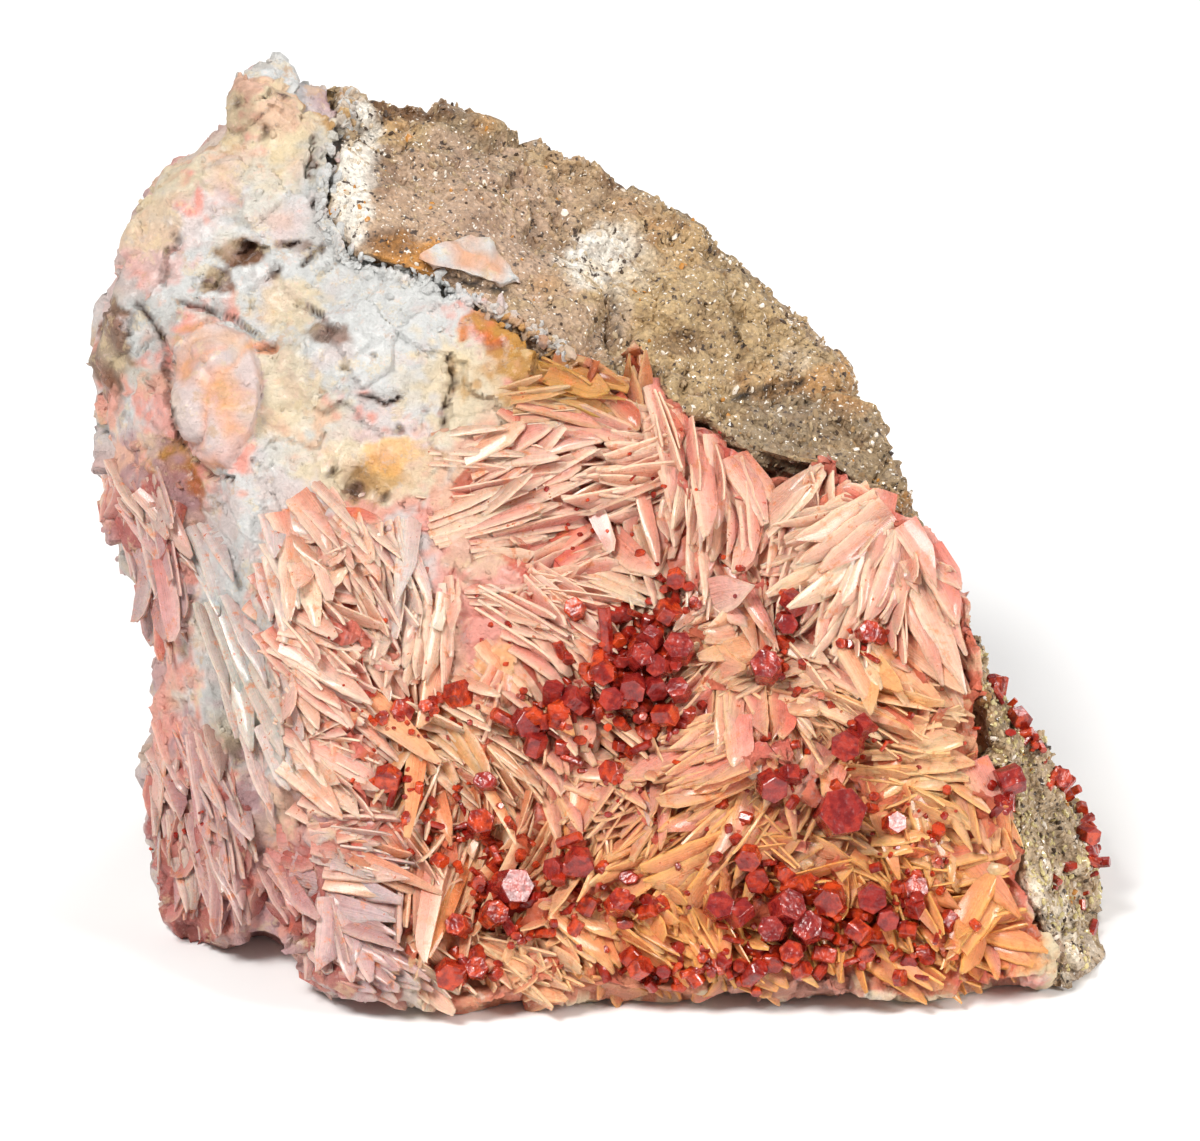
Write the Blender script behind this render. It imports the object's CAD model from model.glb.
import math
import random

import bmesh
import bpy
from mathutils import Matrix, Vector, noise
from mathutils.bvhtree import BVHTree


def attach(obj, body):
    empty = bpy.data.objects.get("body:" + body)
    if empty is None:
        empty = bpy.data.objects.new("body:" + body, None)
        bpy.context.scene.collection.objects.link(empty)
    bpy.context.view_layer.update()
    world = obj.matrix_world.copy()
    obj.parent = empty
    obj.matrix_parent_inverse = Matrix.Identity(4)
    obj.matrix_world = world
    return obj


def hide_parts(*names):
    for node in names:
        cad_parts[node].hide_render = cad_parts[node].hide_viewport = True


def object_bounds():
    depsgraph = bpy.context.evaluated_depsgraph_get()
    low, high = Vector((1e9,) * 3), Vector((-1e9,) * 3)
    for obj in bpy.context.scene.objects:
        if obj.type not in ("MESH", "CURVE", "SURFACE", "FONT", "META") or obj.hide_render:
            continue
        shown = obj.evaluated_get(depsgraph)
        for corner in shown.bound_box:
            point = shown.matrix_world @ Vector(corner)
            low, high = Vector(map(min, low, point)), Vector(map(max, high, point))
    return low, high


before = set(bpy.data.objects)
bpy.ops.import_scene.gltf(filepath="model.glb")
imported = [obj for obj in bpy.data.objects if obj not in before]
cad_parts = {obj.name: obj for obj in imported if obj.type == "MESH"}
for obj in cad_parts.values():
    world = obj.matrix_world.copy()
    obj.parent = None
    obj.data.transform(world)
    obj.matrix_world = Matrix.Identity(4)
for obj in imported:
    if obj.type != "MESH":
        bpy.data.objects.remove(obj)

solids_box = [list(corner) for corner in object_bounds()]

# Places on the stone are drawn on the plane of its crystal face, as in the CAD: u runs right, v runs
# up the face and w stands out of it, in millimetres. The face leans back, and SEAT puts the middle
# of the stone's base at the origin.
MM = 0.001
LEAN = math.radians(25)
RIGHT = Vector((1, 0, 0))
UP = Vector((0, math.sin(LEAN), math.cos(LEAN)))
OUT = Vector((0, -math.cos(LEAN), math.sin(LEAN)))
SEAT = Vector((0.173, -29.521, 0.0)) * MM


def on_face(u, v, w=0.0):
    return SEAT + (RIGHT * u + UP * v + OUT * w) * MM


def face_place(place):
    """The u, v and w of a place, in millimetres."""
    local = (place - SEAT) / MM
    return local.dot(RIGHT), local.dot(UP), local.dot(OUT)


def paint(red, green, blue):
    """A colour picked as screen values from 0 to 255, as the linear values that shaders take."""
    return tuple((value / 255) ** 2.2 for value in (red, green, blue))


# The camera looks straight at the crystal face through a long lens, from far enough away that the
# stone's own outline shows.
CAMERA_DISTANCE = 1200.0
FRAME_WIDTH = 120.0
FRAME_CENTRE = (0.0, 42.95)

camera_data = bpy.data.cameras.new("camera")
camera_data.lens = camera_data.sensor_width * CAMERA_DISTANCE / FRAME_WIDTH
camera_data.clip_start = 0.01
camera_data.clip_end = 20
camera = bpy.data.objects.new("camera", camera_data)
bpy.context.scene.collection.objects.link(camera)
camera.matrix_world = Matrix.Translation(on_face(*FRAME_CENTRE, CAMERA_DISTANCE)) @ Matrix(
    (RIGHT, UP, OUT)
).transposed().to_4x4()
bpy.context.scene.camera = camera
bpy.context.scene.view_settings.view_transform = "Standard"


# Soft studio light: a wide softbox over the left shoulder, a smaller one from the right, and a
# bright, even room.
def softbox(name, place, aim, size, power, colour):
    light = bpy.data.lights.new(name, "AREA")
    light.shape = "DISK"
    light.size = size
    light.energy = power
    light.color = colour
    lamp = bpy.data.objects.new(name, light)
    bpy.context.scene.collection.objects.link(lamp)
    lamp.location = place
    lamp.rotation_euler = (Vector(aim) - Vector(place)).to_track_quat("-Z", "Y").to_euler()
    return lamp


STONE_MIDDLE = (0.0, 0.0, 0.04)
softbox("key_softbox", (-0.30, -0.38, 0.62), STONE_MIDDLE, 0.26, 5.7, (1.0, 0.985, 0.965))
softbox("side_softbox", (0.55, -0.30, 0.35), STONE_MIDDLE, 0.20, 2.9, (1.0, 0.97, 0.94))
softbox("back_softbox", (0.15, 0.55, 0.60), STONE_MIDDLE, 0.35, 2.4, (0.97, 0.98, 1.0))
room = bpy.data.worlds.new("room")
room.use_nodes = True
room.node_tree.nodes["Background"].inputs["Color"].default_value = (1.0, 0.99, 0.98, 1)
room.node_tree.nodes["Background"].inputs["Strength"].default_value = 0.30
bpy.context.scene.world = room


# The floor is one pale, matt sheet of paper.
FLOOR_HALF_WIDTH = 3.0
floor_bmesh = bmesh.new()
bmesh.ops.create_grid(floor_bmesh, x_segments=1, y_segments=1, size=FLOOR_HALF_WIDTH)
floor_mesh = bpy.data.meshes.new("floor")
floor_bmesh.to_mesh(floor_mesh)
floor_bmesh.free()
floor = bpy.data.objects.new("floor", floor_mesh)
bpy.context.scene.collection.objects.link(floor)
floor_paper = bpy.data.materials.new("floor_paper")
floor_paper.use_nodes = True
floor_paper.node_tree.nodes["Principled BSDF"].inputs["Base Color"].default_value = (0.93, 0.93, 0.93, 1)
floor_paper.node_tree.nodes["Principled BSDF"].inputs["Roughness"].default_value = 0.9
floor.data.materials.append(floor_paper)


# The sandy rock is the stone that the barite grew on: tan to grey-brown, fine-grained and gritty,
# with open cracks and a few ledges on its right. It is broken, not cut, all round.
def even_skin(node, grain, rounds):
    """A fine, even copy of a CAD solid's surface, smoothed, as a bmesh."""
    bm = bmesh.new()
    bm.from_mesh(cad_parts[node].data)
    bmesh.ops.remove_doubles(bm, verts=bm.verts, dist=1e-6)
    rough = bpy.data.meshes.new("rough")
    bm.to_mesh(rough)
    bm.free()
    obj = bpy.data.objects.new("rough", rough)
    bpy.context.scene.collection.objects.link(obj)
    remesh = obj.modifiers.new("even skin", "REMESH")
    remesh.mode = "VOXEL"
    remesh.voxel_size = grain * MM
    bpy.context.view_layer.update()
    even = bpy.data.meshes.new_from_object(obj.evaluated_get(bpy.context.evaluated_depsgraph_get()))
    bpy.data.objects.remove(obj)
    bm = bmesh.new()
    bm.from_mesh(even)
    for _ in range(rounds):
        bmesh.ops.smooth_vert(bm, verts=bm.verts, factor=0.5, use_axis_x=True, use_axis_y=True, use_axis_z=True)
    bm.normal_update()
    return bm


def line_nearness(u, v, points, half_width):
    """1 on a line through these points, falling to 0 at half_width from it."""
    here = Vector((u, v))
    nearest = half_width
    for start, end in zip(points, points[1:]):
        a, b = Vector(start), Vector(end)
        t = max(0.0, min(1.0, (here - a).dot(b - a) / (b - a).length_squared))
        nearest = min(nearest, (here - a.lerp(b, t)).length)
    return 1 - nearest / half_width


def move_out(bm, relief):
    """Moves each vertex along its normal by relief(place, normal), in millimetres, above the floor."""
    bm.normal_update()
    moves = [(vertex, vertex.normal.copy()) for vertex in bm.verts]
    for vertex, normal in moves:
        if vertex.co.z > 0.4 * MM:
            vertex.co += normal * relief(vertex.co, normal) * MM
        vertex.co.z = max(vertex.co.z, 0.0)


def piece_from(name, bm, material, smooth_angle=None):
    """Makes the object of a finished piece, which rides on the stone and stays above the floor."""
    for vertex in bm.verts:
        vertex.co.z = max(vertex.co.z, 0.0)
    mesh = bpy.data.meshes.new(name)
    bm.to_mesh(mesh)
    bm.free()
    mesh.materials.append(material)
    if smooth_angle is not None:
        mesh.shade_smooth()
        mesh.set_sharp_from_angle(angle=math.radians(smooth_angle))
    obj = bpy.data.objects.new(name, mesh)
    bpy.context.scene.collection.objects.link(obj)
    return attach(obj, "root")


def inside(u, v, outline):
    """Whether u, v is within an outline."""
    found = False
    for (u0, v0), (u1, v1) in zip(outline, outline[1:] + outline[:1]):
        if (v0 > v) != (v1 > v) and u < u0 + (v - v0) * (u1 - u0) / (v1 - v0):
            found = not found
    return found


def blended(first, second, share):
    share = max(0.0, min(1.0, share))
    return tuple(a + (b - a) * share for a, b in zip(first, second))


class Shader:
    """The nodes of one material, chained with a few short calls."""

    def __init__(self, name):
        self.material = bpy.data.materials.new(name)
        self.material.use_nodes = True
        self.nodes = self.material.node_tree.nodes
        self.links = self.material.node_tree.links
        self.surface = self.nodes["Principled BSDF"]
        self.object_place = self.nodes.new("ShaderNodeTexCoord").outputs["Object"]

    def set(self, **values):
        for name, value in values.items():
            self.surface.inputs[name.replace("_", " ")].default_value = value

    def tint(self, layer):
        node = self.nodes.new("ShaderNodeAttribute")
        node.attribute_name = layer
        return node.outputs["Color"]

    def noise(self, size, detail=4.0, roughness=0.6, stretch=(1, 1, 1)):
        """Cloudy noise whose patches are about this many millimetres across."""
        mapping = self.nodes.new("ShaderNodeMapping")
        mapping.inputs["Scale"].default_value = stretch
        self.links.new(self.object_place, mapping.inputs["Vector"])
        node = self.nodes.new("ShaderNodeTexNoise")
        node.inputs["Scale"].default_value = 1 / (size * MM)
        node.inputs["Detail"].default_value = detail
        node.inputs["Roughness"].default_value = roughness
        self.links.new(mapping.outputs["Vector"], node.inputs["Vector"])
        return node.outputs["Fac"]

    def cells(self, size):
        """A random value in each of many cells about this many millimetres across."""
        node = self.nodes.new("ShaderNodeTexVoronoi")
        node.inputs["Scale"].default_value = 1 / (size * MM)
        self.links.new(self.object_place, node.inputs["Vector"])
        return node.outputs["Color"], node.outputs["Distance"]

    def ranged(self, value, low, high, to_low=0.0, to_high=1.0):
        node = self.nodes.new("ShaderNodeMapRange")
        node.inputs["From Min"].default_value = low
        node.inputs["From Max"].default_value = high
        node.inputs["To Min"].default_value = to_low
        node.inputs["To Max"].default_value = to_high
        self.links.new(value, node.inputs["Value"])
        return node.outputs["Result"]

    def mix(self, share, first, second, blend="MIX"):
        node = self.nodes.new("ShaderNodeMix")
        node.data_type = "RGBA"
        node.blend_type = blend
        for socket, value in ((node.inputs["Factor"], share), (node.inputs["A"], first), (node.inputs["B"], second)):
            self.feed(socket, value)
        return node.outputs["Result"]

    def feed(self, socket, value):
        if isinstance(value, bpy.types.NodeSocket):
            self.links.new(value, socket)
        elif isinstance(value, tuple):
            socket.default_value = (*value, 1)
        else:
            socket.default_value = value

    def colour(self, value):
        self.links.new(value, self.surface.inputs["Base Color"])

    def roughness(self, value):
        self.links.new(value, self.surface.inputs["Roughness"])

    def bump(self, height, distance):
        node = self.nodes.new("ShaderNodeBump")
        node.inputs["Distance"].default_value = distance * MM
        self.links.new(height, node.inputs["Height"])
        previous = self.surface.inputs["Normal"]
        if previous.is_linked:
            self.links.new(previous.links[0].from_socket, node.inputs["Normal"])
        self.links.new(node.outputs["Normal"], previous)


ROCK_GRAIN = 0.48
ROCK_TAN = paint(184, 156, 114)
ROCK_GREY = paint(146, 126, 100)
ROCK_PINK = paint(180, 150, 128)
ROCK_OCHRE = paint(190, 132, 68)
ROCK_CRUST = paint(232, 226, 214)
ROCK_CREAM = paint(240, 224, 200)
ROCK_BROWN = paint(104, 72, 46)
ROCK_DRUSE = paint(200, 176, 146)
ROCK_PALE = paint(214, 200, 184)
ROCK_BLACK = paint(40, 32, 28)
ROCK_CRACKS = (
    ((1.0, 71.0), (1.6, 69.0), (1.9, 66.5)),
    ((13.0, 60.0), (15.5, 61.0), (18.5, 61.6), (20.5, 62.0)),
    ((29.2, 50.0), (30.5, 49.6)),
    ((-17.0, 73.5), (-14.5, 72.2), (-12.0, 71.6), (-9.5, 71.0)),
)
# Where the rock is stained or pale: colour, u, v, half-width along u and v, strength.
ROCK_STAINS = (
    (ROCK_PINK, -16, 78, 12, 9, 0.7), (ROCK_PINK, -5, 78, 12, 8, 0.4), (ROCK_OCHRE, -24.5, 92, 2.5, 2, 0.9),
    (ROCK_BROWN, -19, 90.4, 6, 1.8, 0.9), (ROCK_OCHRE, -19.5, 74.0, 4.5, 2.8, 1.0), (ROCK_BROWN, -21, 76, 3, 1.5, 0.6),
    (ROCK_CRUST, -24.8, 84, 2.4, 8, 0.9), (ROCK_BROWN, -22, 83, 1.5, 3, 0.5), (ROCK_BROWN, -12, 78, 2, 1.5, 0.4),
    (ROCK_BROWN, 2, 83.2, 2, 1.2, 0.8), (ROCK_OCHRE, 8, 76, 4, 3, 0.5), (ROCK_BROWN, 14, 66, 5, 4, 0.4),
    (ROCK_OCHRE, 17, 62, 4, 2, 0.6), (ROCK_BROWN, 24, 60, 2, 1.5, 0.7), (ROCK_PALE, 19.5, 64.2, 1.6, 1.6, 0.7),
    (ROCK_CRUST, 1, 74.3, 5, 3.4, 1.0), (ROCK_CRUST, 2, 70, 1.2, 3, 0.7), (ROCK_TAN, 12, 70, 12, 9, 0.7), (ROCK_GREY, 22, 55, 10, 6, 0.9),
    (ROCK_OCHRE, 31, 49, 2, 2, 0.8), (ROCK_DRUSE, 47, 16, 9, 14, 0.9), (ROCK_PINK, -3, 67, 6, 4, 0.6),
    (ROCK_BROWN, 8, 66, 2.5, 1.5, 0.5), (ROCK_OCHRE, 25, 62, 4, 3, 0.5), (ROCK_PALE, 48, 5, 5, 4, 0.6), (ROCK_CREAM, 45, 7, 3.6, 6, 1.0),
)


def stained(colour, stains, u, v, ragged):
    """The colour after each stain near u, v. ragged, around 0, frays the stains' edges."""
    for stain, centre_u, centre_v, half_u, half_v, strength in stains:
        away = math.hypot((u - centre_u) / half_u, (v - centre_v) / half_v) + ragged
        if away < 1.15:
            colour = blended(colour, stain, strength * min(1.0, (1.15 - away) / 0.32))
    return colour


def chunk(place, size):
    """A height from 0 to 1 that is even over each angular grain, and how near the grain's edge is."""
    distances, points = noise.voronoi(place / (size * MM))
    return noise.cell(points[0] * 31.7), 1 - min(1.0, 5 * (distances[1] - distances[0]))


def facing(normal):
    """1 where the surface faces the front, falling to 0 where it turns away."""
    return max(0.0, min(1.0, 3 * (normal.dot(OUT) - 0.15)))


def coarseness(place):
    """0 where the rock is a fine, even druse, rising to 1 where it is coarse and blocky."""
    u, v, w = face_place(place)
    return max(0.25, min(1.0, (u + 12) / 14)) if w > -12 else 1.0


def rock_relief(place, normal):
    u, v, w = face_place(place)
    coarse = coarseness(place)
    bent = place + noise.noise_vector(place / (3.0 * MM)) * 1.3 * MM
    block, block_edge = chunk(bent, 6.5)
    lump, lump_edge = chunk(bent, 2.2)
    height = coarse * (1.1 * block + 0.5 * lump - 0.25 * block_edge - 0.15 * lump_edge - 0.7)
    height += 0.7 * noise.noise(place / (9 * MM)) + 0.20 * noise.noise(place / (1.4 * MM))
    pit = noise.noise(place / (2.8 * MM) + Vector((5, 5, 5)))
    height -= 1.2 * coarse * max(0.0, pit - 0.34)
    for crack in ROCK_CRACKS:
        height -= 1.3 * facing(normal) * max(0.0, line_nearness(u + 0.5 * pit, v, crack, 0.7)) ** 0.7
    return height


def rock_colour(place, normal):
    u, v, w = face_place(place)
    cloud = noise.noise(place / (8 * MM))
    fine = noise.noise(place / (2.2 * MM) + Vector((3, 1, 4)))
    colour = blended(ROCK_TAN, ROCK_GREY, 0.5 + 1.1 * cloud)
    colour = blended(colour, ROCK_OCHRE, 1.4 * (noise.noise(place / (5 * MM) + Vector((9, 2, 6))) - 0.25))
    plain = blended(colour, ROCK_PINK, 1.5 * noise.noise(place / (14 * MM) + Vector((2, 2, 2))))
    plain = blended(plain, ROCK_BROWN, 1.8 * (noise.noise(place / (6 * MM) + Vector((8, 1, 5))) - 0.3))
    colour = blended(plain, stained(colour, ROCK_STAINS, u, v, 0.45 * fine), facing(normal))
    bent = place + noise.noise_vector(place / (3.0 * MM)) * 1.3 * MM
    lump, lump_edge = chunk(bent, 2.2)
    colour = blended(colour, ROCK_BROWN, coarseness(place) * 0.7 * lump_edge * (0.5 + fine))
    for crack in ROCK_CRACKS:
        dark = (0.9 + 1.4 * fine) * line_nearness(u, v, crack, 0.7)
        colour = blended(colour, ROCK_BLACK, dark * facing(normal))
    return colour


def lay_tint(bm, colour_at):
    """Writes a colour on each vertex, which the piece's material reads."""
    layer = bm.verts.layers.float_color.new("tint")
    for vertex in bm.verts:
        vertex[layer] = (*colour_at(vertex.co, vertex.normal), 1)


rock_shader = Shader("sandy_rock_finish")
rock_cell, rock_cell_edge = rock_shader.cells(0.55)
rock_speckle = rock_shader.ranged(rock_shader.noise(0.5, 3), 0.35, 0.65, 0.72, 1.22)
rock_base = rock_shader.mix(1.0, rock_shader.tint("tint"), rock_speckle, "MULTIPLY")
rock_dark = rock_shader.ranged(rock_shader.noise(0.9, 2), 0.61, 0.68)
rock_base = rock_shader.mix(rock_dark, rock_base, paint(74, 60, 52))
rock_white = rock_shader.ranged(rock_shader.noise(0.42, 1), 0.66, 0.72)
rock_shader.colour(rock_shader.mix(rock_white, rock_base, paint(236, 228, 216)))
rock_shader.roughness(rock_shader.ranged(rock_cell, 0.2, 0.8, 0.35, 0.85))
rock_shader.bump(rock_shader.cells(1.5)[1], 0.35)
rock_shader.bump(rock_cell_edge, 0.25)
rock_shader.bump(rock_shader.noise(0.25, 2), 0.18)

# Noise vectors start from the clock unless they have a seed, and the stone is the same in every run.
NOISE_SEED = 5
noise.seed_set(NOISE_SEED)
rock_skin = even_skin("sandy_rock", ROCK_GRAIN, 2)
move_out(rock_skin, rock_relief)
rock_skin.normal_update()
lay_tint(rock_skin, rock_colour)
rock_tree = BVHTree.FromBMesh(rock_skin)
rock_faces = [(f.calc_center_median(), f.normal.copy(), f.calc_area()) for f in rock_skin.faces]
rock = piece_from("sandy_rock_surface", rock_skin, rock_shader.material, 60)
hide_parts("sandy_rock")


# The barite's mass is one crust. It is dense and white to cream at the upper left, with cracks and
# pits, and pink under the blades. Iron has stained its crest orange and its left side brown.
BARITE_GRAIN = 0.74
PINK = paint(236, 160, 146)
ROSE = paint(226, 128, 114)
MAUVE = paint(188, 146, 148)
WHITE = paint(217, 218, 216)
CREAM = paint(232, 212, 176)
GREY_WHITE = paint(190, 190, 186)
MAUVE_WHITE = paint(206, 186, 188)
PEACH = paint(240, 172, 116)
YELLOW_PEACH = paint(252, 186, 92)
ORANGE = paint(236, 118, 40)
RUST = paint(168, 84, 24)
BROWN = paint(122, 84, 58)
OCHRE = paint(196, 142, 62)
CRACK = paint(84, 54, 38)

# Where the barite is not pink: colour, u, v, half-width along u and v, strength.
BARITE_STAINS = (
    (WHITE, -30, 72, 24, 17, 1.0), (WHITE, -17, 62, 9, 7, 0.9), (CREAM, -31, 91, 9, 7, 1.0),
    (PINK, -35.5, 93.5, 2.5, 3, 0.5), (PINK, -33, 89, 3, 2, 0.4), (BROWN, -36.5, 89, 2.5, 3, 0.35),
    (PINK, -47, 74, 5, 4, 0.5), (GREY_WHITE, -48, 70, 3, 3, 0.6), (CREAM, -46, 78, 4, 3, 0.7), (CREAM, -44, 82, 5, 3, 0.7), (CREAM, -36, 84, 8, 3, 0.5),
    (PINK, -42, 78, 5, 3, 0.15), (CREAM, -34, 79, 3, 3, 0.3), (PINK, -31, 76.5, 5, 2, 0.12),
    (GREY_WHITE, -27.5, 82, 2.5, 8, 0.6), (GREY_WHITE, -45, 66, 4, 5, 0.6), (CREAM, -31.5, 69.5, 4, 2.5, 0.8),
    (CREAM, -33, 61.5, 4, 5, 0.7), (PINK, -40, 62, 5, 7, 0.9), (ROSE, -41.5, 62.5, 2.5, 2.2, 0.6),
    (PEACH, -39.5, 65.5, 3, 2, 0.7), (ROSE, -40, 56, 2.5, 4, 0.4), (PINK, -22, 56.5, 5, 2.5, 0.4),
    (CREAM, -13, 61, 5, 6, 0.8), (CREAM, -29, 57.5, 5, 4, 0.6), (WHITE, -31, 51, 6, 5, 0.8),
    (WHITE, -36, 33, 6, 14, 0.8), (GREY_WHITE, -36, 32, 4, 12, 0.8), (WHITE, -37, 46, 4, 8, 0.8),
    (WHITE, -19.5, 43, 4, 6, 0.8), (WHITE, -24, 56, 5, 3, 0.6), (CREAM, -23.5, 53.0, 6, 3.4, 0.8), (OCHRE, -22.5, 52.6, 3.0, 1.8, 0.7),
    (YELLOW_PEACH, -21, 54.5, 3, 1.8, 0.6), (BROWN, -24.5, 50.8, 1.0, 1.2, 0.9),
    (OCHRE, -43.5, 52, 3.5, 4, 0.9), (BROWN, -49.5, 65, 2, 6, 0.9), (BROWN, -43, 48.5, 3, 3.5, 0.8),
    (RUST, -41.5, 50.5, 2, 3, 0.8), (BROWN, -36, 25.5, 3, 2, 0.8), (BROWN, -30, 19.5, 3, 2, 0.6), (RUST, -8, 66.5, 5, 2.5, 0.9),
    (OCHRE, -2, 63.0, 10, 4, 0.9), (RUST, 3.5, 62.5, 5, 2.2, 0.9), (ORANGE, -10, 67.5, 4, 2, 0.7),
    (BROWN, -36, 75, 2.6, 1.4, 1.0), (BROWN, -31.5, 75.6, 2.2, 0.8, 0.7), (BROWN, -38.5, 72.2, 1.6, 1.2, 0.8), (OCHRE, -27, 90.5, 3, 2.4, 0.8),
    (BROWN, -27.0, 66.8, 2.2, 1.2, 0.8), (OCHRE, -6.5, 67.5, 6, 2, 0.9), (ORANGE, -33.5, 65.3, 1.2, 0.8, 0.6),
    (PINK, -11, 41, 6, 9, 0.8), (CREAM, -12, 46, 4, 4, 0.5), (YELLOW_PEACH, -9.5, 33, 2.6, 2.4, 0.5),
    (MAUVE, -25, 8, 8, 10, 0.8), (MAUVE_WHITE, -24, 13, 7, 3, 0.8), (MAUVE, -41, 13, 8, 13, 0.9), (MAUVE, -45.5, 46, 5, 9, 0.9),
    (GREY_WHITE, -47, 40, 3, 5, 0.4), (CREAM, 46, 7, 4, 6, 1.0), (PEACH, 28, 11, 17, 12, 0.5),
    (YELLOW_PEACH, 28, 7, 15, 8, 0.35), (ORANGE, 24, 6, 17, 8, 0.45), (PEACH, -12, 12, 9, 11, 0.8),
    (ORANGE, -10, 11, 9, 9, 0.6), (PEACH, -17, 26, 7, 6, 0.7), (YELLOW_PEACH, -17, 26, 5, 4, 0.4),
    (PEACH, 6, 8, 11, 9, 0.8), (ORANGE, 4, 9, 10, 8, 0.5), (PEACH, 31, 29, 10, 8, 0.3),
    (YELLOW_PEACH, 32, 25, 9, 9, 0.2), (PEACH, 13, 35, 5, 4, 0.6), (YELLOW_PEACH, 27, 33, 4, 4, 0.6),
    (ROSE, 9, 20, 8, 5, 0.5), (ROSE, 22, 43, 9, 6, 0.3), (ROSE, 1, 50, 9, 6, 0.3), (RUST, -41, 2, 6, 4, 0.3),
    (CREAM, 8, 0.3, 36, 2.4, 0.9), (GREY_WHITE, 20, 0.5, 9, 2.4, 0.7), (MAUVE_WHITE, -24, 0.5, 6, 2.5, 0.6),
)
BARITE_CRACKS = (
    ((-40.0, 71.2), (-38.9, 71.9), (-37.6, 72.8)),
    ((-36.6, 74.6), (-35.6, 75.4), (-33.4, 75.0)), ((-31.6, 75.8), (-30.2, 76.0)),
    ((-30.6, 70.2), (-29.0, 69.2), (-27.6, 68.2)),
    ((-42.6, 76.5), (-43.8, 74.6), (-44.0, 72.0)),
    ((-28.6, 86.5), (-28.9, 84.4), (-29.4, 82.8)),
    ((-28.8, 75.0), (-29.6, 73.4)),
    ((-15.2, 64.6), (-14.6, 62.0), (-15.4, 59.4), (-15.8, 57.4)),
    ((-43.6, 64.5), (-43.2, 60.0), (-42.0, 56.0), (-39.4, 52.6), (-36.8, 52.0)),
    ((-34.0, 65.0), (-32.6, 65.6)), ((-33.5, 66.0), (-37.0, 68.4), (-42.0, 69.8)),
    ((-46.5, 69.8), (-44.5, 67.5), (-43.5, 65.0)), ((-24.0, 60.4), (-21.5, 59.6), (-20.0, 60.0)),
    ((-34.5, 90.5), (-33.0, 91.4), (-31.4, 90.6)), ((-30.0, 89.0), (-28.6, 90.0)),
)
BARITE_PITS = (
    (-32.6, 72.8, 0.6), (-35.8, 74.8, 0.9), (-38.6, 71.4, 0.5), (-27.0, 67.0, 0.8), (-24.5, 51.0, 0.8),
    (-26.8, 52.8, 0.6), (-21.6, 50.2, 0.6), (-36.6, 90.0, 0.6), (-33.8, 87.2, 0.7), (-25.5, 63.4, 0.5),
    (-24.5, 6.0, 2.0), (-21.5, 6.8, 1.6), (-31.0, 10.5, 1.2), (-28.5, 80.0, 0.6), (-28.0, 75.2, 0.6),
    (-20.0, 57.2, 0.6), (-17.4, 59.0, 0.4), (-22.6, 64.4, 0.4),
)
CRACK_HALF_WIDTH = 0.36
# The shell-like lump on the upper left stands out, with a sharp rim along its left and lower sides.
SHELL_LUMP = (
    (-42.8, 65.5), (-43.0, 60.0), (-42.0, 56.5), (-39.5, 53.2), (-36.8, 53.0), (-34.5, 57.0), (-33.5, 62.0),
    (-35.0, 66.5), (-39.0, 68.0),
)
SHELL_RISE = 1.0
SHELL_TOP = (-33.0, 68.5)
SHELL_FOLDS = 6
# How far the mass lies below the blades' rims in their field, and over how wide an edge it sinks.
FIELD_SINK = 1.7
FIELD_EDGE = 3.0
# The fields where blades stand, as outlines on the face: u, v. The rest of the barite is massive.
BLADE_FIELDS = {
    "main": (
        (-14.5, 49.5), (-13, 55), (-8, 58.5), (-4, 62), (2.5, 66.5), (10, 61), (16, 55.5), (23.5, 55.5),
        (26, 53), (30, 49), (36, 40), (39, 31), (41, 24), (43, 15), (43.5, 7), (41, 0.8), (14, 0),
        (-6, -0.5), (-15, -1.5), (-18.5, 1), (-19.5, 10), (-26, 15), (-27, 20), (-31, 24), (-32.5, 30),
        (-25, 28.5), (-17, 30), (-11, 30), (-7.5, 34), (-8, 40), (-10, 46),
    ),
    "dome": (
        (-32.5, 30.5), (-33.5, 40), (-31, 46.5), (-26, 48.5), (-21, 46.5), (-17.5, 42), (-16.5, 34),
        (-18, 30.5), (-25, 29),
    ),
    "left_lobe": ((-46, 23), (-46, 12), (-43, 5), (-37, 5.5), (-34.5, 11), (-36, 20), (-40, 25)),
    "upper_left_lobe": ((-49.3, 50), (-49.3, 43), (-45, 35.5), (-42.5, 38), (-42.5, 48), (-45, 53)),
    "lower_ledges": ((-31.5, 16), (-31.5, 8), (-28.5, 2), (-19.5, -0.5), (-19.5, 12), (-26, 16.5)),
}


def barite_tint(u, v, w, place):
    """The barite's own colour at a place, before crevices and rims."""
    ragged = 0.55 * noise.noise(place / (3.0 * MM)) + 0.5 * noise.noise(place / (1.1 * MM))
    cloud = noise.noise(place / (9 * MM) + Vector((1, 8, 3)))
    colour = blended(PINK, CREAM, 0.15 + 0.9 * cloud)
    if w > -14:
        colour = stained(colour, BARITE_STAINS, u, v, ragged)
        shell = shell_share(u, v)
        if shell:
            fold = shell_fold(u, v, place)
            colour = blended(blended(PEACH, PINK, 0.5 + ragged), blended(PINK, WHITE, 0.7), 0.3 + fold + 0.6 * ragged)
        blush = noise.noise(place / (4.4 * MM) + Vector((7, 7, 2)))
        colour = blended(colour, PINK, 0.7 * (blush - 0.22))
        return blended(colour, CREAM, 0.9 * (-blush - 0.16))
    colour = blended(colour, WHITE, 0.72 + 0.9 * noise.noise(place / (13 * MM)))
    colour = blended(colour, MAUVE, 1.4 * (noise.noise(place / (8 * MM) + Vector((3, 3, 3))) - 0.05))
    rust = noise.noise(place / (7 * MM) + Vector((4, 4, 9)))
    return blended(colour, OCHRE, 1.5 * (rust - 0.22))


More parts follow.
